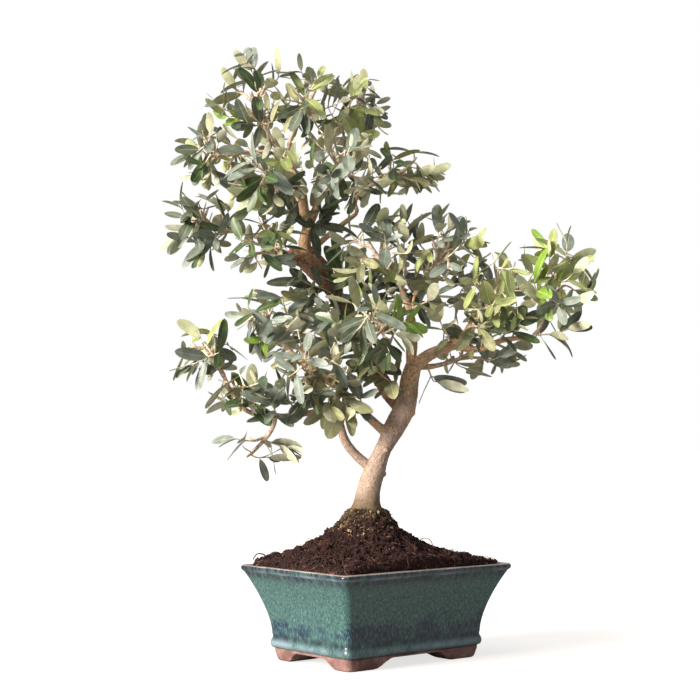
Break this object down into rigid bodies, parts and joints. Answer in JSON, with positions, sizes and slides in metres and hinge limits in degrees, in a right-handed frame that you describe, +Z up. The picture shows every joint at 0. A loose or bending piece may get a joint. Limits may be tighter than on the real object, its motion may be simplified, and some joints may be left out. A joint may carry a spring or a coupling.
{
  "type": "olive bonsai in a glazed pot",
  "caption": "Olive bonsai with an S-curved trunk, an old cut-back trunk behind it and open masses of small leaves, in a flared rectangular glazed pot on corner feet.",
  "frame": {"origin": "on the ground that the pot's feet stand on, under the middle of the whole plant's reach", "axes": "+Z up along the plant's height; X along the pot's long side, Y along its short side; the plant's best side faces 41 degrees round from -Y towards -X"},
  "size_m": [0.392, 0.3587, 0.6641],
  "materials": {
    "glaze": "gloss",
    "bare_clay": "matte",
    "soil": "matte",
    "bark": "matte",
    "old_bark": "matte",
    "leaves": "satin"
  },
  "bodies": {
    "root": {"back_left_bough": "bark", "back_left_leaves": "leaves", "back_right_bough": "bark", "back_right_leaves": "leaves", "crown_stem": "bark", "drooping_limb": "bark", "far_right_leaves": "leaves", "far_right_limb": "bark", "front_bough": "bark", "front_leaves": "leaves", "inner_right_bough": "bark", "inner_right_leaves": "leaves", "left_back_bough": "bark", "left_back_leaves": "leaves", "left_drooping_leaves": "leaves", "left_high_leaves": "leaves", "left_high_limb": "bark", "left_inner_leaves": "leaves", "left_low_arm": "bark", "left_low_leaves": "leaves", "left_low_limb": "bark", "left_tip_leaves": "leaves", "low_front_leaves": "leaves", "low_left_leaves": "leaves", "middle_back_bough": "bark", "middle_back_leaves": "leaves", "middle_front_bough": "bark", "middle_front_leaves": "leaves", "middle_right_bough": "bark", "middle_right_leaves": "leaves", "middle_stem": "bark", "middle_top_leaves": "leaves", "old_trunk": "old_bark", "peak_leaves": "leaves", "pot": "glaze", "pot_feet": "bare_clay", "right_arm": "bark", "right_back_bough": "bark", "right_back_leaves": "leaves", "right_bough": "bark", "right_inner_leaves": "leaves", "right_low_leaves": "leaves", "right_low_limb": "bark", "right_stem": "bark", "right_tip_leaves": "leaves", "soil": "soil", "top_middle_bough": "bark", "top_middle_leaves": "leaves", "top_right_leaves": "leaves", "trunk": "bark", "upper_left_bough": "bark", "upper_left_leaves": "leaves"}
  },
  "joints": []
}
